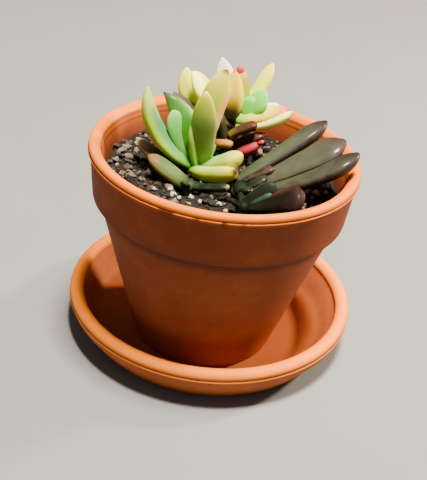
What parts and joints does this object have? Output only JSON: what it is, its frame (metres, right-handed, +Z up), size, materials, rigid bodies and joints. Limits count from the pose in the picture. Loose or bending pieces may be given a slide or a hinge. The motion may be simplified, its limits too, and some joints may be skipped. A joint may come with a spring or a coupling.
{
  "type": "potted echeveria",
  "caption": "Small succulent rosettes with fleshy leaves, planted in gritty soil in a round terracotta pot that stands on a terracotta saucer.",
  "frame": {"origin": "middle of the saucer's flat foot, on the surface it stands on", "axes": "+Z up, +X to the picture's right, -Y towards the viewer"},
  "size_m": [0.1264, 0.1288, 0.1235],
  "materials": {
    "saucer_clay": "matte",
    "pot_clay": "matte",
    "soil": "matte",
    "green_leaf": "satin",
    "olive_leaf": "satin",
    "cream_leaf": "satin",
    "maroon_leaf": "satin",
    "dark_leaf": "satin",
    "pup_leaf": "satin"
  },
  "bodies": {
    "root": {"saucer": "saucer_clay", "pot": "pot_clay", "soil": "soil", "green_rosette": "green_leaf", "olive_rosette": "olive_leaf", "cream_rosette": "cream_leaf", "maroon_rosette": "maroon_leaf", "dark_rosette": "dark_leaf", "dark_pup": "pup_leaf"}
  },
  "joints": []
}
